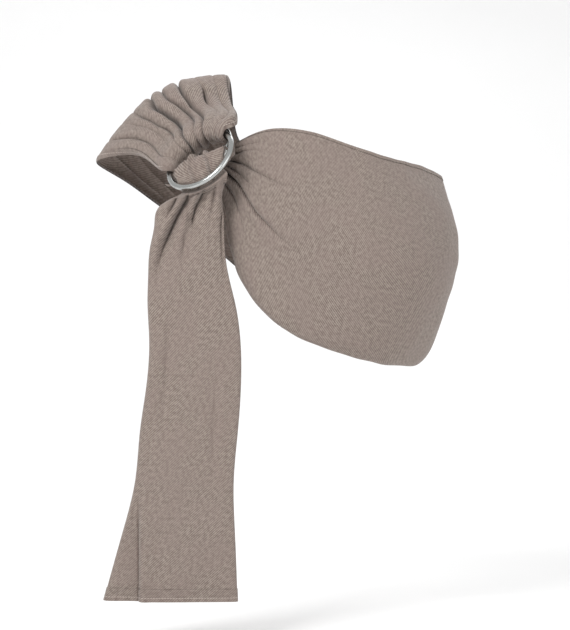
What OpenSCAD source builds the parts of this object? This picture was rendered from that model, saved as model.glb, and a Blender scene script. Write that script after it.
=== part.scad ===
// Ring sling: one long woven cloth sewn to two plain rings and threaded back
// through them, drawn as it sits when worn over the wearer's right shoulder.
// +X is the wearer's left, -Y the wearer's front and +Z up. The origin is the
// top of the wearer's shoulder, where the gathered cloth rests.

/* [Rings] */
// Inside diameter of each ring
ring_inner_d = 76.5; // [74:0.5:78]
// Diameter of the ring's wire
ring_wire_d = 6.5; // [6:0.1:7]

/* [Loop cloth] */
// Thickness of the gathered cloth on the shoulder
gather_t = 20; // [14:1:24]
// Thickness of the cloth spread over the back
back_t = 10; // [6:1:14]
// Thickness of the single layer that makes the pouch
pouch_t = 5; // [3:0.5:7]
// Part of the cloth's width taken by each long hem
hem_part = 0.03; // [0.02:0.005:0.05]
// Thickness of the sewn hems
hem_t = 4; // [2:0.5:5]

/* [Casing] */
// Thickness of the cloth folded round the rings
casing_t = 3; // [2:0.5:3.5]
// Thickness of the cloth wrapped over the back ring's lower bar
wrap_t = 5; // [3:0.5:6]
// Thickness of the folded-over end sewn under the shoulder cloth
flap_t = 3; // [2:0.5:4]
// Thread thickness of the casing's seams
thread_t = 1.2; // [0.8:0.1:1.5]

/* [Tail] */
// Depth of the tail's folds, front to back
tail_depth = 24; // [16:1:26]
// Height of the cut end of the tail, below the shoulder
tail_drop = 575; // [540:5:620]
// Height of the sewn hem across the tail's end
end_hem_h = 15; // [10:1:25]

/* [Label] */
// Width of the sewn-in care label
label_w = 30; // [20:1:40]
// Height of the care label
label_h = 45; // [30:1:60]

/* [Hidden] */

CLOTH = [0.60, 0.54, 0.50];
SHADE = [0.52, 0.45, 0.41];
HEM = [0.56, 0.50, 0.46];
METAL = [0.80, 0.81, 0.80];
THREAD = [0.70, 0.64, 0.60];
LABEL = [0.93, 0.93, 0.91];

ring_r = (ring_inner_d + ring_wire_d) / 2;
wire_r = ring_wire_d / 2;
bar_gap = 0.15;
flap_gap = 0.2;
// Clearance left at each seam, as a share of the cloth's width or of a row
seam_gap = 0.003;

// Each ring's centre, the turn of its long diameter above X, and its lean back
front_centre = [29.5, -119.5, -74.5];
front_turn = 41;
front_lean = 51;
back_centre = [31, -94.5, -71.5];
back_turn = 49;
back_lean = 61;

// Where the gathered cloth covers the rings, in degrees round the ring from
// the upper end of its long diameter
casing_from = 20;
casing_to = 160;
wrap_from = 222;
wrap_to = 296;

COLUMNS = 5;

// ---- Interpolation --------------------------------------------------------

function lerp(a, b, t) = a + (b - a) * t;

function catmull(a, b, c, d, t) =
  0.5 * (2 * b + (c - a) * t + (2 * a - 5 * b + 4 * c - d) * t * t
    + (3 * b - a - 3 * c + d) * t * t * t);

// A list's entry before or past an end is the straight continuation
function entry(list, i) =
  i < 0 ? 2 * list[0] - list[1]
  : i >= len(list) ? 2 * list[len(list) - 1] - list[len(list) - 2]
  : list[i];

function smooth_at(list, s) =
  let (i = max(0, min(floor(s), len(list) - 2)))
  catmull(entry(list, i - 1), list[i], list[i + 1], entry(list, i + 2), s - i);

function unit(a) = a / norm(a);

// The point of a net of rows, u along the rows and v from 0 to 1 across
function net_at(net, u, v) =
  smooth_at([for (row = net) smooth_at(row, v * COLUMNS)], u);

// The net's normal there, pointing in towards the wearer
function net_normal(net, u, v) =
  let (
    e = 0.02,
    du = net_at(net, u + e, v) - net_at(net, u - e, v),
    dv = net_at(net, u, min(v + e, 1)) - net_at(net, u, max(v - e, 0))
  )
  unit(cross(dv, du));

// ---- Guide rows of the worn loop, from the rings round the body ------------

// A row of points from the upper rail a to the lower rail b, bowed by bulge
function spread(a, b, bulge) =
  [for (k = [0:COLUMNS]) lerp(a, b, k / COLUMNS) + bulge * sin(180 * k / COLUMNS)];

// A row whose lower rail is tucked back inside the fold that makes the seat
function tucked(top, fold, rail, bulge) =
  concat(
    [for (k = [0:COLUMNS - 1])
      lerp(top, fold, k / (COLUMNS - 1)) + bulge * sin(180 * k / (COLUMNS - 1))],
    [rail]
  );

function long_axis(turn) = [cos(turn), 0, sin(turn)];
function face_axis(turn, lean) =
  [-sin(turn) * sin(lean), -cos(lean), cos(turn) * sin(lean)];
function short_axis(turn, lean) = cross(face_axis(turn, lean), long_axis(turn));

// A point in the back ring's plane at radius r and angle a from its long axis
function by_back_ring(r, a) =
  back_centre + r * cos(a) * long_axis(back_turn)
  + r * sin(a) * short_axis(back_turn, back_lean);

casing_edge_r = ring_r + wire_r + casing_t + 8;

loop_net = [
  [for (k = [0:COLUMNS]) by_back_ring(casing_edge_r, lerp(12, 168, k / COLUMNS))],
  spread([66, -56, -10], [-50, -54, -68], [-4, 0, 22]),
  spread([59, -10, 29], [-94, -6, -67], [-6, -4, 28]),
  spread([62, 48, 4], [-82, 44, -80], [-4, 10, 18]),
  spread([76, 88, -42], [-30, 84, -116], [0, 8, 0]),
  spread([140, 104, -60], [30, 102, -162], [0, 8, 0]),
  spread([225, 96, -72], [122, 104, -234], [4, 8, 0]),
  spread([290, 58, -82], [225, 76, -272], [26, 14, 0]),
  tucked([312, 0, -86], [284, 4, -304], [262, 4, -262], [33, 0, 0]),
  tucked([282, -50, -77], [262, -45, -311], [250, -36, -258], [34, -24, 0]),
  tucked([240, -92, -70], [215, -92, -303], [212, -68, -252], [10, -36, 0]),
  tucked([195, -112, -56], [150, -122, -281], [156, -82, -238], [4, -24, 0]),
  tucked([150, -118, -43], [98, -127, -244], [116, -76, -208], [0, -20, 0]),
  tucked([110, -114, -41], [72, -117, -202], [88, -84, -186], [0, -14, 0]),
  tucked([82, -106, -48], [59, -107, -150], [72, -88, -146], [0, -5, 0]),
  spread([68, -102, -62], [33, -103, -110], [0, 0, 0])
];

// Solid thickness at each guide row
loop_thickness = [
  8, 14, gather_t, gather_t, 14, back_t, back_t, 8,
  pouch_t, pouch_t, pouch_t, pouch_t, pouch_t, pouch_t, 7, 10
];

shoulder_end = 3.4;
back_end = 7;
side_end = 9;
loop_end = len(loop_net) - 1;

// ---- Guide rows of the tail, hanging straight down --------------------------

tail_y = -134;
tail_top_z = -116;
upper_end_z = -240;
middle_end_z = -400;
lower_end_z = end_hem_h - tail_drop;

// Height, left edge and right edge of the tail
tail_outline = [
  [-96, 4, 56], [-118, -9, 55], [-139, -18, 56], [-168, -25, 57],
  [-203, -28, 61], [-237, -29, 69], [-293, -27, 76], [-330, -30, 76],
  [-378, -37, 73], [-433, -42, 68], [-492, -56, 69], [-tail_drop, -79, 72]
];

// The outline's left and right edge at height z
function tail_edges(z, i = 0) =
  i >= len(tail_outline) - 2 || z >= tail_outline[i + 1][0]
  ? let (a = tail_outline[i], b = tail_outline[i + 1])
    lerp(a, b, (z - a[0]) / (b[0] - a[0]))
  : tail_edges(z, i + 1);

// ---- Solids -----------------------------------------------------------------

// Closed solid between two grids of points that share one shape
module slab(outer, inner) {
  nu = len(outer) - 1;
  nv = len(outer[0]) - 1;
  count = nv + 1;
  inner_start = (nu + 1) * count;
  points = concat([for (row = outer) each row], [for (row = inner) each row]);
  function o(i, j) = i * count + j;
  function n(i, j) = inner_start + i * count + j;
  function quad(a, b, c, d) = [[a, b, c], [a, c, d]];
  faces = concat(
    [for (i = [0:nu - 1], j = [0:nv - 1])
      each quad(o(i, j), o(i, j + 1), o(i + 1, j + 1), o(i + 1, j))],
    [for (i = [0:nu - 1], j = [0:nv - 1])
      each quad(n(i, j), n(i + 1, j), n(i + 1, j + 1), n(i, j + 1))],
    [for (i = [0:nu - 1]) each quad(o(i, 0), o(i + 1, 0), n(i + 1, 0), n(i, 0))],
    [for (i = [0:nu - 1])
      each quad(o(i, nv), n(i, nv), n(i + 1, nv), o(i + 1, nv))],
    [for (j = [0:nv - 1]) each quad(o(0, j), n(0, j), n(0, j + 1), o(0, j + 1))],
    [for (j = [0:nv - 1])
      each quad(o(nu, j), o(nu, j + 1), n(nu, j + 1), n(nu, j))]
  );
  polyhedron(points, faces);
}

// Part of the loop cloth from row u0 to row u1 and from v0 to v1 across it.
// The solid lies between low and high, towards the wearer: each is a share of
// the loop's half thickness and a further height in millimetres.
module loop_cloth(u0, u1, v0, v1, low, high, nu, nv) {
  us = [for (i = [0:nu]) lerp(u0, u1, i / nu)];
  vs = [for (j = [0:nv]) lerp(v0, v1, j / nv)];
  function height(u, side) =
    side[0] * smooth_at(loop_thickness, u) / 2 + side[1];
  function grid(side) =
    [for (u = us) [for (v = vs)
      net_at(loop_net, u, v) + net_normal(loop_net, u, v) * height(u, side)]];
  slab(grid(high), grid(low));
}

module loop_panel(u0, u1, nu, nv) {
  edge = hem_part + seam_gap;
  loop_cloth(u0, u1 - 2 * seam_gap, edge, 1 - edge, [-1, 0], [1, 0], nu, nv);
}

// Flattened solid of the tail between two heights, as deep as deep(z), from
// share v0 to share v1 of its width
module tail_cloth(z0, z1, v0, v1, nz, nv, deep, edge_t) {
  zs = [for (i = [0:nz]) lerp(z0, z1, i / nz)];
  vs = [for (j = [0:nv]) j / nv];
  function grid(side) =
    [for (z = zs) [for (v = vs)
      let (
        e = tail_edges(z),
        crown = sqrt(max(0, 1 - pow(2 * v - 1, 2))),
        half = edge_t / 2 + max(0, deep(z) / 2 - edge_t / 2) * crown
      )
      [lerp(e[1], e[2], lerp(v0, v1, v)), tail_y + side * min(half, deep(z) / 2), z]]];
  slab(grid(1), grid(-1));
}

// Depth of a tail part whose top is rounded about its hinge
function rounded_depth(z, top) =
  let (r = tail_depth / 2, below = top - z)
  below >= r ? tail_depth : 2 * sqrt(max(0.6, r * r - pow(r - below, 2)));

module tail_part(top, bottom) {
  round_h = tail_depth / 2;
  tail_cloth(top, top - round_h, hem_part, 1 - hem_part, 6, 12,
    function (z) rounded_depth(z, top), hem_t);
  tail_cloth(top - round_h, bottom, hem_part, 1 - hem_part, 8, 12,
    function (z) tail_depth, hem_t);
}

module tail_hems(top, bottom) {
  start = top - tail_depth / 2;
  tail_cloth(start, bottom, 0, hem_part, 8, 1, function (z) hem_t, hem_t);
  tail_cloth(start, bottom, 1 - hem_part, 1, 8, 1, function (z) hem_t, hem_t);
}

module place_ring(centre, turn, lean) {
  e1 = long_axis(turn);
  e2 = short_axis(turn, lean);
  e3 = face_axis(turn, lean);
  multmatrix([
    [e1[0], e2[0], e3[0], centre[0]],
    [e1[1], e2[1], e3[1], centre[1]],
    [e1[2], e2[2], e3[2], centre[2]],
    [0, 0, 0, 1]
  ]) children();
}

module ring() {
  rotate_extrude($fn = 96) translate([ring_r, 0]) circle(r = wire_r, $fn = 32);
}

// Cloth of thickness t round part of a ring's wire, from turn a0 to a1 round
// the ring, left open over a wedge of the wire's section about direction open_at
module wire_wrap(a0, a1, t, open_at, open_half) {
  reach = 4 * ring_r;
  rotate([0, 0, a0]) rotate_extrude(angle = a1 - a0, $fn = 96)
    translate([ring_r, 0]) difference() {
      circle(r = wire_r + bar_gap + t, $fn = 32);
      circle(r = wire_r + bar_gap, $fn = 32);
      rotate(open_at) polygon([
        [0, 0],
        reach * [cos(open_half), -sin(open_half)],
        reach * [cos(open_half), sin(open_half)]
      ]);
    }
}

// ---- Sub-parts --------------------------------------------------------------

// Cloth gathered from the rings up over the shoulder
module shoulder_section() {
  color(CLOTH) loop_panel(0, shoulder_end, 22, 14);
}

// Cloth running down across the wearer's back
module back_section() {
  color(SHADE) loop_panel(shoulder_end, back_end, 20, 10);
}

// Cloth turning forward under the wearer's other arm
module side_section() {
  color(SHADE) loop_panel(back_end, side_end, 12, 18);
}

// Pouch and tucked-in seat that carry the baby, narrowing to the rings
module pouch_section() {
  color(CLOTH) loop_panel(side_end, loop_end, 30, 20);
}

module upper_rail_hem() {
  color(HEM) for (part = [[0, shoulder_end, 18], [shoulder_end, side_end, 24],
      [side_end, loop_end, 24]])
    rail_strip(part, 0, hem_part);
}

module lower_rail_hem() {
  color(HEM) for (part = [[0, shoulder_end, 18], [shoulder_end, side_end, 24],
      [side_end, loop_end, 24]])
    rail_strip(part, 1 - hem_part, 1);
}

module rail_strip(part, v0, v1) {
  half = hem_t / 2;
  loop_cloth(part[0], part[1], v0, v1, [0, -half], [0, half], part[2], 1);
}

// The cloth's folded-over end, lying under the shoulder cloth above the rings
module casing_flap() {
  color(SHADE)
    loop_cloth(0.15, 0.85, 0.12, 0.88, [1, flap_gap], [1, flap_gap + flap_t], 5, 12);
}

// Cloth turned round the back ring's upper bar, open to the front ring
module ring_casing() {
  color(CLOTH) place_ring(back_centre, back_turn, back_lean)
    wire_wrap(casing_from, casing_to, casing_t, 135, 50);
}

// Three seams that close the casing, on its folded-over end
module casing_stitching() {
  low = 2 * flap_gap + flap_t;
  color(THREAD) for (u = [0.4, 0.5, 0.6])
    loop_cloth(u, u + 0.02, 0.16, 0.84, [1, low], [1, low + thread_t], 1, 16);
}

module ring_back() {
  color(METAL) place_ring(back_centre, back_turn, back_lean) ring();
}

// Cloth drawn over the back ring's lower bar, which the ring pair clamps
module ring_wrap() {
  color(CLOTH) place_ring(back_centre, back_turn, back_lean)
    wire_wrap(wrap_from, wrap_to, wrap_t, -90, 60);
}

module ring_front() {
  color(METAL) place_ring(front_centre, front_turn, front_lean) ring();
}

module tail_upper_section() {
  color(CLOTH) tail_part(tail_top_z, upper_end_z);
}

module tail_upper_hems() {
  color(HEM) tail_hems(tail_top_z, upper_end_z);
}

module tail_middle_section() {
  color(CLOTH) tail_part(upper_end_z - 0.5, middle_end_z);
}

module tail_middle_hems() {
  color(HEM) tail_hems(upper_end_z - 0.5, middle_end_z);
}

module tail_lower_section() {
  color(CLOTH) tail_part(middle_end_z - 0.5, lower_end_z);
}

module tail_lower_hems() {
  color(HEM) tail_hems(middle_end_z - 0.5, lower_end_z);
}

// Hem sewn across the tail's cut end
module tail_end_hem() {
  color(HEM) tail_cloth(lower_end_z - 0.1, -tail_drop, 0, 1, 2, 12,
    function (z) tail_depth, hem_t);
}

// Blank label sewn in at the back of the tail, above its end hem
module care_label() {
  back_face = tail_y + tail_depth / 2 + 0.3;
  color(LABEL) translate([-label_w / 2, back_face, lower_end_z + 5])
    cube([label_w, 1, label_h]);
}

shoulder_section();
back_section();
side_section();
pouch_section();
upper_rail_hem();
lower_rail_hem();
casing_flap();
ring_casing();
casing_stitching();
ring_back();
ring_wrap();
ring_front();
tail_upper_section();
tail_upper_hems();
tail_middle_section();
tail_middle_hems();
tail_lower_section();
tail_lower_hems();
tail_end_hem();
care_label();
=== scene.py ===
"""The looks of the ring sling: its one long cloth, its seams and its two rings.

Lengths in this script are millimetres unless a name ends in _M or a section says metres.
MM turns them into metres, which is what Blender and the frame use.
"""

import math

import bpy
import numpy as np
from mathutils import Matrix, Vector


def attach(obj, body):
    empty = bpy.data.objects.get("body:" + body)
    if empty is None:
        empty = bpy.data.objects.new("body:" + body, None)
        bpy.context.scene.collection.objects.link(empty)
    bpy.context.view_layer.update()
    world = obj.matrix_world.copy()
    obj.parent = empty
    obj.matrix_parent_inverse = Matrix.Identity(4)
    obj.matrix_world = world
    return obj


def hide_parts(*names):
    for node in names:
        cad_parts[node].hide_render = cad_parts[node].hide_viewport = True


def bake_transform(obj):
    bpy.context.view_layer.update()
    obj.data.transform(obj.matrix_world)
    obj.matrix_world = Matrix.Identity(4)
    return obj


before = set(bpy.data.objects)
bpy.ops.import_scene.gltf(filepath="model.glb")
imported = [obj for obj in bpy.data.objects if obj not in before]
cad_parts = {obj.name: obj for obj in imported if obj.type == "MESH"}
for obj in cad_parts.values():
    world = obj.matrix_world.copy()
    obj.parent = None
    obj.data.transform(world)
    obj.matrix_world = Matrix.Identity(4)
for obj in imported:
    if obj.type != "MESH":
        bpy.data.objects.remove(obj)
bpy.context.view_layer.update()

MM = 0.001
CLOTH_T = 0.9  # thickness of the woven cloth
HEM_T = 2.2  # thickness of its hems
HEM_COLUMNS = 9  # how many columns of a fine grid a hem takes

# ---- The cloth's guide net, in millimetres in the part's frame ---------------

RING_R = 41.5  # the rings' centreline radius
COLUMNS = 5  # each guide row has COLUMNS + 1 points, upper rail first


def lerp(a, b, t):
    a, b = np.asarray(a, float), np.asarray(b, float)
    return a + (b - a) * t


def ring_frame(centre, turn, lean):
    """A ring's centre, long axis, short axis and the axis that its face looks along."""
    t, l = math.radians(turn), math.radians(lean)
    long_axis = np.array([math.cos(t), 0, math.sin(t)])
    face = np.array([-math.sin(t) * math.sin(l), -math.cos(l), math.cos(t) * math.sin(l)])
    return np.array(centre, float), long_axis, np.cross(face, long_axis), face


FRONT_RING = ring_frame((29.5, -119.5, -74.5), 41, 51)
BACK_RING = ring_frame((31, -94.5, -71.5), 49, 61)


def by_ring(ring, q, a, b):
    """A point q along the ring's long axis, a along its short one and b off its face."""
    centre, e1, e2, e3 = ring
    return centre + q * e1 + a * e2 + b * e3


# The angle round the rings at which each guide column of the gathered end is sewn
SEWN_AT = np.radians([4, 44, 84, 108, 128, 154])


def sewn(ring, radius, height, at=SEWN_AT):
    """A guide row that runs round a ring's upper bar."""
    return [by_ring(ring, radius * math.cos(t), radius * math.sin(t), height) for t in at]


def spread(a, b, bulge):
    """A guide row from the upper rail a to the lower rail b, bowed by bulge."""
    return [
        lerp(a, b, k / COLUMNS) + np.array(bulge) * math.sin(math.pi * k / COLUMNS)
        for k in range(COLUMNS + 1)
    ]


TUCK_MORE = 0.9  # how much further than the CAD's rail the hidden cloth is tucked


def tucked(top, fold, rail, bulge):
    """A guide row whose lower rail turns back up inside the fold of the seat."""
    row = [
        lerp(top, fold, k / (COLUMNS - 1)) + np.array(bulge) * math.sin(math.pi * k / (COLUMNS - 1))
        for k in range(COLUMNS)
    ]
    rail = np.array(rail, float)
    return row + [rail + (rail - row[-1]) * TUCK_MORE]


def across_bar(inside, height, q_right=31, q_left=-33):
    """A guide row along the front ring's lower bar, inside it by inside."""
    row = []
    for k in range(COLUMNS + 1):
        q = lerp(q_right, q_left, k / COLUMNS)
        row.append(by_ring(FRONT_RING, q, inside - math.sqrt(RING_R**2 - q * q), height))
    return row


def in_ring(*points):
    """A guide row of points given along and across the front ring, and off its face."""
    return [by_ring(FRONT_RING, *point) for point in points]


FIRST_ROW = -5  # the row number of the folded-over end; row 1 is the first on the shoulder
GUIDE = np.array([
    sewn(BACK_RING, RING_R + 20, -6, np.radians([34, 56, 80, 100, 122, 146])),
    sewn(BACK_RING, RING_R + 3, -8),
    sewn(FRONT_RING, RING_R - 7, -7),
    sewn(FRONT_RING, RING_R - 7, 3),
    sewn(FRONT_RING, RING_R + 1, 9),
    sewn(FRONT_RING, RING_R + 14, 7, np.radians([4, 40, 76, 100, 120, 140])),
    spread([66, -56, -10], [-50, -56, -61], [-4, 0, 20]),
    spread([59, -10, 29], [-94, -6, -67], [-6, -4, 28]),
    spread([62, 48, 4], [-82, 44, -80], [-4, 10, 18]),
    spread([76, 88, -42], [-30, 84, -116], [0, 8, 0]),
    spread([140, 104, -60], [30, 102, -162], [0, 8, 0]),
    spread([225, 96, -72], [122, 104, -234], [4, 8, 0]),
    spread([290, 58, -82], [225, 76, -272], [26, 14, 0]),
    tucked([312, 0, -86], [284, 4, -304], [262, 4, -262], [33, 0, 0]),
    tucked([282, -50, -77], [262, -45, -311], [250, -36, -258], [34, -24, 0]),
    tucked([240, -92, -70], [215, -92, -303], [212, -68, -252], [10, -36, 0]),
    tucked([195, -112, -56], [150, -122, -281], [156, -82, -238], [4, -24, 0]),
    tucked([150, -118, -43], [98, -127, -244], [116, -76, -208], [0, -20, 0]),
    tucked([110, -114, -41], [72, -117, -202], [88, -84, -186], [0, -14, 0]),
    tucked([82, -106, -48], [59, -107, -150], [72, -88, -146], [0, -5, 0]),
    spread([68, -102, -62], [33, -103, -110], [0, 0, 0]),
    in_ring((33, -12, -18), (21, -12, -19), (9, -12, -20),
            (-3, -9, -21), (-16, -7, -22), (-29, -6, -23)),
    in_ring((31, -15, -9), (19, -12, -9), (7, -8, -9), (-7, 0, -9), (-21, 7, -9), (-34, 5, -10)),
    in_ring((30, -14, 1), (18, -11, 3), (6, -4, 4), (-8, 5, 5), (-22, 11, 5), (-35, 8, 2)),
    in_ring((29, -18, 4), (17, -15, 7), (5, -9, 8), (-9, -1, 8), (-23, 4, 7), (-36, 2, 3)),
    in_ring((27, -22, 2), (15, -20, 5), (3, -19, 6), (-11, -15, 6), (-25, -10, 5), (-37, -5, 1)),
    across_bar(9, -2, 20, -39),
    across_bar(6, -7, 18, -40),
])


def spline_weights(knots, s):
    """Weights that give a smooth curve through knots' values, straight at its ends, at each s."""
    knots, s = np.asarray(knots, float), np.asarray(s, float)
    n, h = len(knots), np.diff(knots)
    system, change = np.eye(n), np.zeros((n, n))
    for i in range(1, n - 1):
        system[i, i - 1], system[i, i], system[i, i + 1] = h[i - 1], 2 * (h[i - 1] + h[i]), h[i]
        change[i, i - 1 : i + 2] += 6 * np.array([1 / h[i - 1], -1 / h[i - 1] - 1 / h[i], 1 / h[i]])
    bend = np.linalg.solve(system, change)
    i = np.clip(np.searchsorted(knots, s, "right") - 1, 0, n - 2)
    t = (s - knots[i]) / h[i]
    w = np.zeros((len(s), n))
    rows = np.arange(len(s))
    w[rows, i] += 1 - t
    w[rows, i + 1] += t
    inside = np.clip(t, 0, 1)
    w += ((((1 - inside) ** 3 - (1 - inside)) * h[i] ** 2)[:, None] * bend[i]
          + ((inside**3 - inside) * h[i] ** 2)[:, None] * bend[i + 1]) / 6
    return w


ROW_STEP = np.linalg.norm(np.diff(GUIDE, axis=0), axis=2).mean(1)
ROW_AT = np.concatenate([[0], np.cumsum(ROW_STEP)])  # length along the cloth to each guide row


def along(row):
    """Length along the cloth at a row number."""
    return np.interp(row, np.arange(len(GUIDE)) + FIRST_ROW, ROW_AT)


def row_at(length):
    """Row number at a length along the cloth."""
    return np.interp(length, ROW_AT, np.arange(len(GUIDE)) + FIRST_ROW)


def surface(lengths, v):
    """Points of the guide surface: one length to each row of v."""
    wu = spline_weights(ROW_AT, lengths)
    wv = spline_weights(np.arange(COLUMNS + 1) / COLUMNS, v.ravel())
    return np.einsum("ai,abj,ijk->abk", wu, wv.reshape(*v.shape, -1), GUIDE)


def grid_normals(p):
    """Normals of a grid of points, towards the wearer."""
    du, dv = np.gradient(p, axis=0), np.gradient(p, axis=1)
    n = np.cross(dv, du)
    return n / np.maximum(np.linalg.norm(n, axis=2, keepdims=True), 1e-9)


# ---- Folds of the loop cloth ---------------------------------------------------

# Lines of the folds' valleys: where each lies across the cloth at these rows
LINE_ROWS = [-5, -3, -1, 0, 1, 1.5, 2, 3, 4.5, 6, 8, 9.5, 11, 12, 13, 14, 15, 16, 18, 20, 22]
LINES = [
    [0.10, 0.08, 0.08, 0.09, 0.11, 0.10, 0.11, 0.12, 0.12, 0.12,
     0.10, 0.08, 0.07, 0.07, 0.07, 0.07, 0.08, 0.10, 0.12, 0.12, 0.12],
    [0.20, 0.17, 0.16, 0.18, 0.24, 0.20, 0.23, 0.25, 0.25, 0.24,
     0.20, 0.18, 0.16, 0.15, 0.13, 0.12, 0.20, 0.22, 0.22, 0.24, 0.24],
    [0.34, 0.25, 0.24, 0.28, 0.39, 0.39, 0.355, 0.37, 0.38, 0.36,
     0.32, 0.30, 0.28, 0.265, 0.25, 0.235, 0.30, 0.32, 0.34, 0.38, 0.38],
    [0.45, 0.32, 0.30, 0.34, 0.47, 0.51, 0.47, 0.48, 0.49, 0.48,
     0.42, 0.40, 0.38, 0.36, 0.34, 0.32, 0.40, 0.42, 0.42, 0.56, 0.56],
    [0.56, 0.43, 0.42, 0.46, 0.61, 0.63, 0.55, 0.58, 0.60, 0.59,
     0.56, 0.54, 0.53, 0.49, 0.45, 0.40, 0.50, 0.52, 0.55, 0.70, 0.70],
    [0.68, 0.54, 0.53, 0.56, 0.73, 0.73, 0.68, 0.70, 0.71, 0.70,
     0.68, 0.66, 0.65, 0.63, 0.60, 0.53, 0.62, 0.64, 0.68, 0.80, 0.80],
    [0.80, 0.67, 0.65, 0.68, 0.79, 0.80, 0.78, 0.81, 0.82, 0.81,
     0.79, 0.79, 0.80, 0.80, 0.76, 0.70, 0.74, 0.76, 0.80, 0.88, 0.88],
    [0.92, 0.82, 0.80, 0.84, 0.90, 0.90, 0.89, 0.91, 0.92, 0.92,
     0.90, 0.90, 0.91, 0.92, 0.90, 0.86, 0.87, 0.88, 0.90, 0.95, 0.95],
]
# How deep each line's crease is on the shoulder, on the pouch and over the rings
LINE_SHARE = [0.2, 0.12, 1.0, 0.6, 1.5, 0.4, 0.12, 0.25]
POUCH_SHARE = [0.5, 0.8, 0.9, 0.6, 1.3, 0.6, 0.4, 0.5]
WRAP_SHARE = [0.05, 0.1, 1.3, 0.1, 1.5, 0.2, 0.05, 0.4]
POUCH_ROW, WRAP_ROW = 9.5, 15.4  # the rows where the pouch's and the rings' shares take over
POUCH_START = [12.6, 13.0, 11.3, 12.8, 10.9, 12.8, 13.3, 13.3]  # where each fades in on the pouch
# How far the rounded folds fall to the upper rail, to each line and to the lower rail
ROUND_SHARE = [1.7, 0.06, 0.06, 0.8, 0.35, 0.8, 0.2, 0.1, 0.3, 1.2]
# At these rows: the rounded folds' height, and the depth and width of the creases between them
FOLD_ROWS = [-5, -3, -1, 0, 1, 1.5, 2, 2.5, 3, 4.5, 6, 7.3, 9.5, 12, 13, 14, 15, 16, 18, 20, 22]
FOLD_HIGH = [6, 2, 2, 5, 10, 9, 5, 6, 10, 9, 5, 0, 0, 0, 0.6, 1.5, 3, 2, 0.4, 0.4, 0.6]
CREASE_DEEP = [14, 5, 2, 6, 13, 10, 6, 7, 14, 14, 9, 0, 0, 2, 3.5, 5, 9, 7, 3.2, 3.0, 4]
CREASE_W = [
    1.2, 1.0, 1.1, 1.4, 2.0, 2.0, 2.0, 2.2, 2.4, 3, 3,
    3, 3, 3, 2.6, 2.0, 1.4, 1.2, 1.2, 1.2, 1.0,
]
OUTER_LINES = 4  # from this line on, the folds lie flatter over the shoulder's top
CALM_ROW, CALM_SPAN, CALM_SHARE = 2.5, 0.7, 0.6  # where they do, over how many rows, how much
SHORT_LINE = 1  # the line with a short, deep crease on the front of the shoulder
SHORT_ROW, SHORT_SPAN, SHORT_DEEP = 1.3, 0.25, 0.9
# Rows of the fine grid: first, last, and the step between them
ROW_STEPS = [(-5, 1, 1.6), (1, 3.4, 1.7), (3.4, 7, 3.0), (7, 9, 3.0), (9, 15, 2.3), (15, 22, 1.4)]
FINE = 30  # points across each fold
ACROSS = 330  # nominal width over which the gentle waves are laid
LIFT_ROWS = [-5, -1, 1, 3, 6, 8, 9, 22]
LIFT = [1, 1, 5, 7, 4, 1, 0, 0]  # how far the folds' tops stand off the guide surface there


def smooth(x):
    """A soft step from 0 to 1."""
    x = np.clip(x, 0, 1)
    return x * x * (3 - 2 * x)


def ripple(x, y, size, seed):
    """Gentle random waves of about the given size, from -1 to 1."""
    rng = np.random.default_rng(seed)
    total = np.zeros(np.broadcast(x, y).shape)
    for _ in range(9):
        angle, phase = rng.uniform(0, 2 * math.pi, 2)
        scale = 2 * math.pi / (size * rng.uniform(0.7, 1.6))
        total += np.sin(scale * (x * math.cos(angle) + y * math.sin(angle)) + phase)
    return total / 4.5


def fold_lines(rows, lengths):
    """Place across the cloth of each valley line, and of both rails, at each row."""
    kernel = np.hanning(15)[1:-1]
    kernel /= kernel.sum()
    lines = [np.zeros(len(rows))]
    for k, places in enumerate(LINES):
        line = np.interp(rows, LINE_ROWS, places)
        line = np.convolve(np.pad(line, 6, mode="edge"), kernel, "valid")
        lines.append(line + 0.006 * ripple(lengths, np.zeros(1), 60, 40 + k))
    return np.array(lines + [np.ones(len(rows))]).T


def columns_of(lines):
    """Places across the cloth of the fine grid's columns, closest together at the lines."""
    t = (1 - np.cos(np.pi * np.arange(FINE) / FINE)) / 2
    v = lines[:, :-1, None] + (lines[:, 1:] - lines[:, :-1])[..., None] * t
    return np.concatenate([v.reshape(len(lines), -1), lines[:, -1:]], axis=1)


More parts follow.
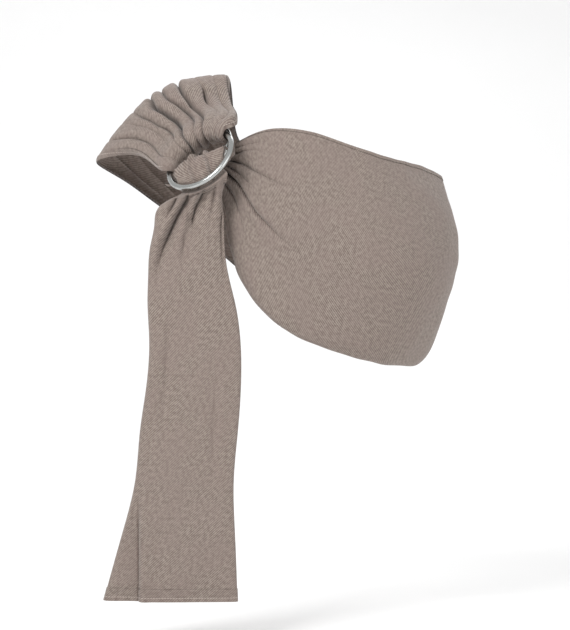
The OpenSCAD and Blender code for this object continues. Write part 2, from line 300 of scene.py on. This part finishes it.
def folds(rows, lengths, lines, v, width):
    """Height of the folds over the guide surface, which their tops reach."""
    high = np.interp(rows, FOLD_ROWS, FOLD_HIGH)[:, None]
    deep = np.interp(rows, FOLD_ROWS, CREASE_DEEP)
    slit = np.interp(rows, FOLD_ROWS, CREASE_W)[:, None]
    calm = 1 - CALM_SHARE * np.exp(-(((rows - CALM_ROW) / CALM_SPAN) ** 2))
    short = SHORT_DEEP * np.exp(-(((rows - SHORT_ROW) / SHORT_SPAN) ** 2))
    on_pouch = smooth((rows - POUCH_ROW) / 0.5)
    on_rings = smooth((rows - WRAP_ROW) / 1.2)
    height = np.zeros(v.shape)
    for k in range(lines.shape[1] - 1):
        left, right = lines[:, k, None], lines[:, k + 1, None]
        t = (v - left) / (right - left)
        inside = (t >= 0) & (t <= 1)
        ridge = (1 - np.abs(2 * np.clip(t, 0, 1) - 1) ** 3) ** 0.6
        wobble = 1 + 0.3 * ripple(lengths[:, None], np.zeros((1, 1)), 80, 60 + k)
        share = lerp(ROUND_SHARE[k], ROUND_SHARE[k + 1], smooth(t))
        if k > OUTER_LINES:
            share = share * calm[:, None]
        height = np.where(inside, -high * wobble * share * (1 - ridge), height)
    for k in range(len(LINES)):
        fading_in = POUCH_SHARE[k] * smooth((rows - POUCH_START[k]) / 1.6)
        share = lerp(lerp(LINE_SHARE[k], fading_in, on_pouch), WRAP_SHARE[k], on_rings)
        if k >= OUTER_LINES:
            share = share * calm
        if k == SHORT_LINE:
            share = share + short
        gap = np.abs(v - lines[:, k + 1, None]) * width
        size = (deep * share * (1 + 0.25 * ripple(lengths, np.zeros(1), 50, 80 + k)))[:, None]
        height -= size * np.exp(-((gap / slit) ** 1.3))
        height += 0.16 * np.minimum(size, 7) * np.exp(-(((gap - 3.4 * slit) / (2.6 * slit)) ** 2))
    return height


def loop_sheet():
    """The loop's cloth as a fine grid: points, normals, guide points, lengths and rows."""
    lengths = []
    for first, last, step in ROW_STEPS:
        a, b = along(first), along(last)
        lengths += list(np.linspace(a, b, max(2, round((b - a) / step)), endpoint=False))
    lengths = np.array(lengths + [ROW_AT[-1]])
    rows = row_at(lengths)
    lines = fold_lines(rows, lengths)
    v = columns_of(lines)
    base = surface(lengths, v)
    normals = grid_normals(base)
    width = np.linalg.norm(np.diff(base, axis=1), axis=2).sum(1)[:, None]
    height = folds(rows, lengths, lines, v, width)
    across = v * ACROSS
    big = smooth((rows - 2) / 3) * smooth((15 - rows) / 1.5)
    height += big[:, None] * 1.6 * ripple(lengths[:, None], across, 110, 7)
    height += 0.5 * ripple(lengths[:, None], across, 34, 8) * smooth((15.2 - rows) / 1)[:, None]
    lift = np.interp(rows, LIFT_ROWS, LIFT)[:, None]
    p = base - normals * (height + lift)[..., None]
    return p, grid_normals(p), base, lengths, rows


# ---- The tail --------------------------------------------------------------------

TAIL_Y = -134
TAIL_END = -575
TAIL_COLUMNS = 301
TAIL_STEP = 2.4  # from one row of its fine grid to the next
LAYER = 8.5  # depth from one layer of the folded tail to the next
LABEL_OUT = 6.0  # how much further back the end of the back layer lies, where the label is
FOLD_ROUND = 0.014  # roundness of the tail's long folds, as a part of its cloth's width
# The folded tail's outline: height, left edge and right edge
TAIL_OUTLINE = np.array([
    [-96, 4, 56], [-118, -9, 55], [-139, -18, 56], [-168, -25, 57],
    [-203, -28, 61], [-237, -29, 69], [-293, -27, 76], [-330, -30, 76],
    [-378, -37, 73], [-433, -42, 68], [-492, -56, 69], [TAIL_END, -79, 72],
])
# Under the front ring's bar: how far inside it each row lies, and how far off the ring's face
BAR_ROWS = [(12, -9), (5, -8.5), (-2, -7.5)]
BAR_LEFT, BAR_RIGHT = -40, 12  # the tail's edges there, along the ring
BAR_LAYER = 3.4  # depth there from one layer to the next
BAR_FADE = 30  # length below the bar over which the creases deepen
# Rows of the tail: height at its left edge, height at its right edge
TAIL_HANGS = [
    (-128, -112), (-150, -138), (-176, -168), (-208, -204), (-240, -239), (-280, -280),
    (-330, -330), (-385, -385), (-440, -440), (-500, -500), (TAIL_END, TAIL_END),
]
# Creases down the tail: depth, width, the side they open to, and points as (x, z)
TAIL_CREASES = [
    (10.0, 4.0, 1, [
        (19, -108), (15, -120), (5, -138), (-4, -158), (-12, -177), (-17, -200), (-20, -230),
    ]),
    (9.0, 4.0, 1, [(38, -102), (34, -112), (25, -129), (22, -141), (15, -162), (11, -185), (9, -215)]),
    (6.0, 3.0, 1, [(8, -110), (2, -124), (-6, -140), (-12, -158)]),
    (4.5, 2.6, -1, [(27, -106), (22, -120), (16, -132), (10, -150)]),
    (4.0, 3.0, -1, [(50, -90), (47, -108), (44, -128), (41, -150), (40, -172)]),
    (7.0, 5.0, -1, [(58, -88), (56, -120), (54, -150), (55, -185), (59, -225), (63, -262)]),
    (3.0, 8.0, -1, [(26, -180), (22, -230), (24, -300), (28, -380)]),
    (3.0, 9.0, 1, [(-4, -230), (-8, -300), (-12, -370), (-16, -440)]),
    (2.6, 9.0, -1, [(50, -280), (46, -350), (44, -430), (46, -520)]),
]
UNFOLD_X, UNFOLD_Z = -38, -430  # where the lower fold of the tail opens


def segment_distance(p, line):
    """From points p to a polyline: the distance, its sign to either side, and the place along."""
    best = np.full(p.shape[:-1], 1e9)
    side = np.zeros(p.shape[:-1])
    place = np.zeros(p.shape[:-1])
    steps = np.linalg.norm(np.diff(line, axis=0), axis=1)
    starts = np.concatenate([[0], np.cumsum(steps)])
    for k in range(len(line) - 1):
        d = line[k + 1] - line[k]
        t = np.clip(((p - line[k]) @ d) / (d @ d), 0, 1)
        off = p - line[k] - t[..., None] * d
        gap = np.linalg.norm(off, axis=-1)
        nearer = gap < best
        best = np.where(nearer, gap, best)
        side = np.where(nearer, np.sign(off[..., 1] * d[0] - off[..., 0] * d[1]), side)
        place = np.where(nearer, (starts[k] + t * steps[k]) / starts[-1], place)
    return best, side, place


def tail_layers(s):
    """Place between the tail's edges, 0 to 1, and depth in layers, of each part s of its width."""
    left, right = 1 / 3, 2 / 3

    def turn(at):
        return np.sqrt((s - at) ** 2 + FOLD_ROUND**2) - FOLD_ROUND

    place = np.where(s < 0.5, turn(left) * 3, 1 - turn(right) * 3)
    place = np.where(s < left, place * 0.96, np.where(s > right, 1 - (1 - place) * 0.9, place))
    depth = 1 - np.tanh((s - left) / FOLD_ROUND) * 1.0 + 0.5 * (1 + np.tanh((s - right) / FOLD_ROUND))
    return place, depth


def tail_sheet():
    """The hanging tail, folded in three layers: points, normals, uncreased points, lengths."""
    s = np.linspace(0, 1, TAIL_COLUMNS)
    place, depth = tail_layers(s)
    q = lerp(BAR_LEFT, BAR_RIGHT, place)
    bar = -np.sqrt(RING_R**2 - q * q)
    rows = []
    for inside, off in BAR_ROWS:
        rows.append([
            by_ring(FRONT_RING, q[k], bar[k] + inside, off - BAR_LAYER * depth[k])
            for k in range(TAIL_COLUMNS)
        ])
    drops = -np.linspace(TAIL_OUTLINE[0, 0], TAIL_END, 480)
    edges = spline_weights(-TAIL_OUTLINE[:, 0], drops) @ TAIL_OUTLINE[:, 1:]
    for left_z, right_z in TAIL_HANGS:
        z = lerp(left_z, right_z, place)
        left = np.interp(-z, drops, edges[:, 0])
        right = np.interp(-z, drops, edges[:, 1])
        crown = 3.0 * np.sin(math.pi * np.clip(place, 0, 1))
        y = TAIL_Y + LAYER * (depth - 1) - crown
        y += LABEL_OUT * smooth((-470 - z) / 45) * np.clip(depth - 1, 0, 1)
        rows.append(np.stack([lerp(left, right, place), y, z], axis=1))
    net = np.array(rows)
    knots = np.concatenate([[0], np.cumsum(np.linalg.norm(np.diff(net, axis=0), axis=2).mean(1))])
    lengths = np.linspace(0, knots[-1], round(knots[-1] / TAIL_STEP))
    p = np.einsum("ai,ijk->ajk", spline_weights(knots, lengths), net)
    x, z = p[..., 0], p[..., 2]
    shallower = np.interp(depth, [0, 1, 2], [1, 0.8, 0.55])[None, :]
    nested = lerp(1, shallower, smooth((-110 - z) / 80))
    push = np.zeros(x.shape)
    flat = np.stack([x, z], axis=-1)
    for deep, width, lean, points in TAIL_CREASES:
        t = np.linspace(0, 1, 4 * len(points))
        line = spline_weights(np.linspace(0, 1, len(points)), t) @ np.array(points, float)
        gap, side, at = segment_distance(flat, line)
        fade = smooth((1 - at) / 0.7) * (1 if line[0, 1] > -125 else smooth(at / 0.4))
        steep = width * (0.3 + 1.1 * at)
        gentle = width * (1.7 + 1.6 * at)
        reach = np.where(side * lean > 0, gentle, steep)
        valley = np.exp(-((gap / reach) ** 1.5))
        ridge = 0.45 * np.exp(-(((gap - 2.2 * steep - 1) / (1.6 * steep + 1)) ** 2)) * (side * lean <= 0)
        groove = 0.5 * np.exp(-((gap / (1.2 + 1.2 * at)) ** 2))
        push += deep * fade * (valley + groove - ridge)
    opened = smooth((UNFOLD_Z - z) / 90)
    flap = smooth((UNFOLD_X + 0.6 - x) / 1.6) + 0.5 * np.exp(-(((x - UNFOLD_X) / 1.6) ** 2))
    push += opened * (8.0 * flap - 3.0 * np.exp(-(((x - UNFOLD_X - 5) / 7) ** 2)))
    across = s[None, :] * ACROSS
    small = 0.5 * ripple(lengths[:, None], across, 42, 21)
    push += small + 1.3 * ripple(lengths[:, None], across * 2.2, 150, 22)
    base = p.copy()
    below_bar = smooth((lengths - knots[len(BAR_ROWS) - 1]) / BAR_FADE)[:, None]
    p[..., 1] += push * nested * below_bar
    return p, grid_normals(p), base, lengths


# ---- Meshes ------------------------------------------------------------------------


def arc_uv(p, lengths):
    """UV in metres: distance across the cloth from its middle, and length along it."""
    steps = np.linalg.norm(np.diff(p, axis=1), axis=2)
    across = np.concatenate([np.zeros((len(p), 1)), np.cumsum(steps, axis=1)], axis=1)
    across -= across[:, across.shape[1] // 2][:, None]
    return np.stack([across, np.broadcast_to(lengths[:, None], across.shape)], axis=-1) * MM


def mesh_object(name, points, faces, uv=None, normals=None, material=None, seam=None):
    """A smooth mesh; seam is a second UV, the distance from a sewn edge and along it."""
    mesh = bpy.data.meshes.new(name)
    mesh.vertices.add(len(points))
    mesh.vertices.foreach_set("co", np.asarray(points, np.float32).ravel())
    faces = np.asarray(faces, np.int32)
    mesh.loops.add(faces.size)
    mesh.loops.foreach_set("vertex_index", faces.ravel())
    mesh.polygons.add(len(faces))
    mesh.polygons.foreach_set("loop_start", np.arange(0, faces.size, faces.shape[1], dtype=np.int32))
    mesh.update(calc_edges=True)
    mesh.validate()
    for layer_name, values in (("UVMap", uv), ("Seam", seam)):
        if values is not None:
            layer = mesh.uv_layers.new(name=layer_name)
            layer.data.foreach_set("uv", np.asarray(values, np.float32)[faces.ravel()].ravel())
    mesh.shade_smooth()
    if normals is not None:
        mesh.normals_split_custom_set_from_vertices(np.asarray(normals, float).tolist())
    o = bpy.data.objects.new(name, mesh)
    bpy.context.scene.collection.objects.link(o)
    if material:
        mesh.materials.append(material)
    return o


def thick_sheet(name, p, n, uv, material, thickness=CLOTH_T, seam=None):
    """A closed sheet of the given thickness about a grid of points."""
    nu, nv = p.shape[:2]
    index = np.arange(nu * nv).reshape(nu, nv)
    a, b, c, d = index[:-1, :-1], index[:-1, 1:], index[1:, 1:], index[1:, :-1]
    inner = np.stack([a, b, c, d], axis=-1).reshape(-1, 4)
    outer = inner[:, ::-1] + nu * nv
    faces = [inner, outer]
    for line in (index[0, ::-1], index[-1], index[:, 0], index[::-1, -1]):
        i, j = line[:-1], line[1:]
        faces.append(np.stack([j, i, i + nu * nv, j + nu * nv], axis=-1))
    half = n * thickness / 2
    points = np.concatenate([(p + half).reshape(-1, 3), (p - half).reshape(-1, 3)])
    normals = np.concatenate([n.reshape(-1, 3), -n.reshape(-1, 3)])
    both = np.concatenate([uv.reshape(-1, 2)] * 2)
    if seam is not None:
        seam = np.concatenate([seam.reshape(-1, 2)] * 2)
    return mesh_object(name, points * MM, np.concatenate(faces), both, normals, material, seam)


def edge_hem(name, p, n, uv, columns, material):
    """A sewn hem along an edge of a grid: the first columns, or the last if it is negative."""
    side = slice(0, columns) if columns > 0 else slice(columns, None)
    edge = 0 if columns > 0 else -1
    from_edge = np.linalg.norm(p[:, side] - p[:, edge][:, None], axis=2) * MM
    seam = np.stack([from_edge, uv[:, side, 1]], axis=-1)
    return thick_sheet(name, p[:, side], n[:, side], uv[:, side], material, HEM_T, seam)

# ---- Materials ------------------------------------------------------------------


class Nodes:
    """A short way to write a material's nodes."""

    def __init__(self, name):
        self.material = bpy.data.materials.new(name)
        self.material.use_nodes = True
        self.tree = self.material.node_tree
        self.shader = self.tree.nodes["Principled BSDF"]

    def add(self, kind, inputs=(), **settings):
        node = self.tree.nodes.new("ShaderNode" + kind)
        for key, value in settings.items():
            setattr(node, key, value)
        for key, value in dict(inputs).items():
            if isinstance(value, bpy.types.NodeSocket):
                self.tree.links.new(value, node.inputs[key])
            else:
                node.inputs[key].default_value = value
        return node

    def math(self, operation, a, b=0.0, c=0.0):
        return self.add("Math", {0: a, 1: b, 2: c}, operation=operation).outputs[0]

    def mix(self, factor, a, b, blend_type="MIX"):
        node = self.add("Mix", data_type="RGBA", blend_type=blend_type)
        for socket, value in ((node.inputs[0], factor), (node.inputs[6], a), (node.inputs[7], b)):
            if isinstance(value, bpy.types.NodeSocket):
                self.tree.links.new(value, socket)
            else:
                socket.default_value = value
        return node.outputs[2]

    def wire(self, socket, value):
        self.tree.links.new(value, self.shader.inputs[socket])


TWILL_M = 0.0021  # spacing of the twill's diagonal lines
THREAD_M = 0.0009  # spacing of its threads
# The stitches: distance from the sewn edge, width, and length from one to the next
STITCH_AT_M, STITCH_W_M, STITCH_STEP_M = 0.0045, 0.0007, 0.0032
STITCH_SHARE = 0.72  # how much of each step shows thread
STITCH_COLOUR = (0.43, 0.37, 0.33)


WARP, WEFT, PATCH = (0.316, 0.266, 0.231), (0.150, 0.113, 0.097), (0.238, 0.184, 0.165)


def cloth_material(name, painted_shade=1.0, sewn_edge=False):
    """Matt twill: raised diagonal lines, threads, and a soft mottling of two tones. The second argument,
    below 1, darkens the whole colour as painted shade.
    """
    m = Nodes(name)
    uv = m.add("UVMap", uv_map="UVMap").outputs[0]

    def band(direction, spacing):
        wave = [2 * math.pi * d / spacing for d in direction]
        turned = m.add("VectorMath", {0: uv, 1: (*wave, 0)}, operation="DOT_PRODUCT")
        return m.math("SINE", turned.outputs["Value"])

    def noise(scale, detail, roughness=0.5):
        values = {"Vector": uv, "Scale": scale, "Detail": detail, "Roughness": roughness}
        return m.add("TexNoise", values, noise_dimensions="2D").outputs[0]

    wander = noise(260.0, 2.0)
    diagonal = band((0.7071, 0.7071), TWILL_M)
    across, down = band((1, 0), THREAD_M), band((0, 1), THREAD_M)
    weave = m.math("MULTIPLY", across, down)
    line = m.math("MULTIPLY_ADD", diagonal, 0.5, 0.5)
    speckle = m.math("MULTIPLY", m.math("SUBTRACT", wander, 0.5), 1.6)
    tone = m.add("Clamp", {0: m.math("ADD", line, speckle)}).outputs[0]
    mottle = noise(26.0, 3.0, 0.6)
    soft = m.add("MapRange", {0: mottle, 1: 0.38, 2: 0.62, 3: 0.0, 4: 1.0}).outputs[0]
    colour = m.mix(tone, (*WEFT, 1), (*WARP, 1))
    colour = m.mix(m.math("MULTIPLY", soft, 0.35), colour, (*PATCH, 1))
    # painted shade: the whole colour is multiplied down by the second argument
    colour = m.mix(1.0, colour, (painted_shade, painted_shade, painted_shade, 1), "MULTIPLY")
    if sewn_edge:
        seam = m.add("SeparateXYZ", {0: m.add("UVMap", uv_map="Seam").outputs[0]})
        off_line = m.math("ABSOLUTE", m.math("SUBTRACT", seam.outputs[0], STITCH_AT_M))
        on_line = m.math("LESS_THAN", off_line, STITCH_W_M / 2)
        along_it = m.math("FRACT", m.math("DIVIDE", seam.outputs[1], STITCH_STEP_M))
        stitch = m.math("MULTIPLY", on_line, m.math("LESS_THAN", along_it, STITCH_SHARE))
        colour = m.mix(stitch, colour, (*STITCH_COLOUR, 1))
    m.wire("Base Color", colour)
    fuzz = noise(2200.0, 1.0)
    relief = m.math("ADD", m.math("MULTIPLY", line, 0.6), m.math("MULTIPLY", weave, 0.12))
    relief = m.math("ADD", relief, m.math("MULTIPLY", fuzz, 0.5))
    if sewn_edge:
        relief = m.math("SUBTRACT", relief, m.math("MULTIPLY", on_line, 1.5))
        relief = m.math("ADD", relief, m.math("MULTIPLY", stitch, 2.5))
    bump = m.add("Bump", {"Strength": 0.5, "Distance": 0.0005, "Height": relief})
    m.wire("Normal", bump.outputs[0])
    m.shader.inputs["Roughness"].default_value = 0.92
    m.shader.inputs["Specular IOR Level"].default_value = 0.25
    m.shader.inputs["Sheen Weight"].default_value = 0.18
    m.shader.inputs["Sheen Roughness"].default_value = 0.5
    return m.material


cloth = cloth_material("cloth_twill")
# the hems are painted 5% darker than the cloth, a painted shade along the folded edges
hem = cloth_material("hem_twill", 0.95, sewn_edge=True)


METAL_DARK, METAL_LIGHT = (0.42, 0.43, 0.42), (0.50, 0.51, 0.50)


def metal_material(name):
    """Satin polished metal, a little uneven in tone and polish."""
    m = Nodes(name)
    place = m.add("TexCoord").outputs["Object"]
    cloudy = m.add("TexNoise", {"Vector": place, "Scale": 60.0, "Detail": 3.0})
    m.wire("Base Color", m.mix(cloudy.outputs[0], (*METAL_DARK, 1), (*METAL_LIGHT, 1)))
    rough = m.add("MapRange", {0: cloudy.outputs[0], 1: 0.3, 2: 0.7, 3: 0.19, 4: 0.26}).outputs[0]
    m.wire("Roughness", rough)
    m.shader.inputs["Metallic"].default_value = 1.0
    return m.material


def plain_weave(name, colour, spacing):
    """A fine plain weave, for thread and label tape."""
    m = Nodes(name)
    place = m.add("TexCoord").outputs["Object"]
    grain = m.add("TexNoise", {"Vector": place, "Scale": 1 / spacing, "Detail": 2.0})
    shade = [c * 0.8 for c in colour]
    m.wire("Base Color", m.mix(grain.outputs[0], (*shade, 1), (*colour, 1)))
    bump = m.add("Bump", {"Strength": 0.4, "Distance": 0.0003, "Height": grain.outputs[0]})
    m.wire("Normal", bump.outputs[0])
    m.shader.inputs["Roughness"].default_value = 0.7
    return m.material


ring_metal = metal_material("satin_metal")
thread = plain_weave("thread", (0.42, 0.35, 0.31), 0.0008)
label_tape = plain_weave("label_tape", (0.86, 0.86, 0.84), 0.0012)

# ---- Pieces ---------------------------------------------------------------------

pieces = {}  # each sheet by name: the object, its length, how it is held, what on, its hems


# The loop's sheets: name, first row, last row, how it is held, what it rests on, and the
# CAD nodes that it replaces
LOOP_PIECES = [
    ("loop_shoulder", -5, 3.4, "gathered", "ring_front",
     ["shoulder_section", "ring_casing", "casing_flap"]),
    ("loop_back", 3.4, 7, "draped", "loop_shoulder", ["back_section"]),
    ("loop_side", 7, 9, "draped", "loop_back", ["side_section"]),
    ("loop_pouch", 9, 22, "gathered", "ring_back", ["pouch_section", "ring_wrap"]),
]


def build_loop():
    """The loop's sheets and hems; all but those at the shoulder move with the loop."""
    p, n, guide, lengths, rows = loop_sheet()
    uv = arc_uv(guide, lengths)
    for name, first, last, held, rests_on, nodes in LOOP_PIECES:
        part = slice(np.argmin(abs(rows - first)), np.argmin(abs(rows - last)) + 1)
        grid = p[part], n[part], uv[part]
        sheet = thick_sheet(name, *grid, cloth)
        upper = edge_hem(name + "_upper_hem", *grid, HEM_COLUMNS, hem)
        lower = edge_hem(name + "_lower_hem", *grid, -HEM_COLUMNS, hem)
        for o in (sheet, upper, lower):
            if name == "loop_shoulder":
                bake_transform(o)
            else:
                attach(o, "sling")
        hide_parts(*nodes)
        if name == "loop_back":
            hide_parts("upper_rail_hem")
            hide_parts("lower_rail_hem")
        length = (lengths[part][-1] - lengths[part][0]) * MM
        pieces[name] = (sheet, length, held, [rests_on], [upper, lower])


END_HEM_ROWS = 7
HEMS_MEET = 2  # rows where the side hems run on into the end hem
# The tail's sheets: name, first and last height, the CAD's name for the section, its two
# bodies, and the heights over which it turns from one to the other
TAIL_PIECES = [
    ("tail_top", None, -225, "upper", ("sling", "tail_upper"), (-112, -200)),
    ("tail_mid", -225, -385, "middle", ("tail_upper", "tail_middle"), (-232, -275)),
    ("tail_low", -385, TAIL_END, "lower", ("tail_middle", "tail_lower"), (-392, -436)),
]


def build_tail():
    """The tail's sheets and hems, and the hem across its end."""
    p, n, guide, lengths = tail_sheet()
    uv = arc_uv(guide, lengths)
    heights = p[:, TAIL_COLUMNS // 2, 2]
    for name, first, last, section, bodies, turn in TAIL_PIECES:
        i = 0 if first is None else int(np.argmin(abs(heights - first)))
        j = int(np.argmin(abs(heights - last))) + 1
        sheet = thick_sheet(name, p[i:j], n[i:j], uv[i:j], cloth)
        stop = j + HEMS_MEET - END_HEM_ROWS if last == TAIL_END else j
        side = p[i:stop], n[i:stop], uv[i:stop]
        back = edge_hem(name + "_back_hem", *side, HEM_COLUMNS, hem)
        inner = edge_hem(name + "_inner_hem", *side, -HEM_COLUMNS, hem)
        for o in (sheet, back, inner):
            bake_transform(o)
        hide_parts(f"tail_{section}_section")
        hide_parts(f"tail_{section}_hems")
        length = (lengths[j - 1] - lengths[i]) * MM
        pieces[name] = (sheet, length, "hung", ["ring_front"], [back, inner])

    part = slice(-END_HEM_ROWS, None)
    from_end = np.stack([(lengths[-1] - lengths[part]) * MM] * TAIL_COLUMNS, axis=1)
    seam = np.stack([from_end, uv[part][..., 0]], axis=-1)
    end_hem = thick_sheet("tail_end_hem_strip", p[part], n[part], uv[part], hem, HEM_T, seam)
    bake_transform(end_hem)
    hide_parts("tail_end_hem")
    pieces["tail_low"][-1].append(end_hem)


build_loop()
build_tail()

KEPT_NODES = {
    "ring_front": ring_metal,
    "ring_back": ring_metal,
    "care_label": label_tape,
    "casing_stitching": thread,
}
for node, material in KEPT_NODES.items():
    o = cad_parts[node]
    o.data.materials.clear()
    o.data.materials.append(material)
    if material == ring_metal:
        o.data.shade_smooth()

# ---- Floor, backdrop, light and camera, in metres -----------------------------------

FLOOR_Z = -0.625
FLOOR_FRONT, FLOOR_BACK = -2.2, 1.6
FLOOR_LEFT, FLOOR_RIGHT = -4, 4.2
CURVE_R = 0.8  # radius of the curve from the floor to the wall
WALL_TOP = 3.5


def backdrop():
    """A pale floor that curves up into a wall behind the sling."""
    profile = [(FLOOR_FRONT, 0.0), (FLOOR_BACK, 0.0)]
    for t in np.linspace(0.1, math.pi / 2, 12):
        profile.append((FLOOR_BACK + CURVE_R * math.sin(t), CURVE_R - CURVE_R * math.cos(t)))
    profile.append((FLOOR_BACK + CURVE_R, WALL_TOP))
    points, faces = [], []
    for k, (y, z) in enumerate(profile):
        points += [(FLOOR_LEFT, y, z + FLOOR_Z), (FLOOR_RIGHT, y, z + FLOOR_Z)]
        if k:
            faces.append((2 * k - 2, 2 * k - 1, 2 * k + 1, 2 * k))
    m = Nodes("backdrop_paper")
    place = m.add("TexCoord").outputs["Object"]
    mist = m.add("TexNoise", {"Vector": place, "Scale": 3.0, "Detail": 2.0})
    m.wire("Base Color", m.mix(mist.outputs[0], (0.90, 0.90, 0.90, 1), (0.93, 0.93, 0.93, 1)))
    m.shader.inputs["Roughness"].default_value = 0.9
    m.shader.inputs["Specular IOR Level"].default_value = 0.1
    return mesh_object("backdrop", points, faces, material=m.material)


backdrop()

world = bpy.data.worlds.new("studio")
world.use_nodes = True
world.node_tree.nodes["Background"].inputs["Color"].default_value = (1, 1, 1, 1)
world.node_tree.nodes["Background"].inputs["Strength"].default_value = 0.68
bpy.context.scene.world = world
bpy.context.scene.view_settings.view_transform = "Standard"


def area_light(name, place, target, size, power):
    light = bpy.data.lights.new(name, "AREA")
    light.energy, light.size = power, size
    o = bpy.data.objects.new(name, light)
    o.location = place
    o.rotation_euler = (Vector(target) - Vector(place)).to_track_quat("-Z", "Y").to_euler()
    bpy.context.scene.collection.objects.link(o)


AIM = (0.12, 0.0, -0.25)
area_light("key", (-1.3, -2.2, 1.5), AIM, 1.1, 54)
area_light("fill", (1.9, -1.8, 0.6), AIM, 1.8, 16)
area_light("back_fill", (0.4, 1.35, 1.4), AIM, 1.4, 14)

CAMERA_AT = (0.126, -2.3, -0.252)
VIEW_DEG = 18.67  # the height of the view
camera_data = bpy.data.cameras.new("camera")
camera_data.sensor_fit = "VERTICAL"
camera_data.angle = math.radians(VIEW_DEG)
camera = bpy.data.objects.new("camera", camera_data)
camera.location = CAMERA_AT
camera.rotation_euler = (math.pi / 2, 0, 0)
bpy.context.scene.collection.objects.link(camera)
bpy.context.scene.camera = camera

bpy.context.view_layer.update()
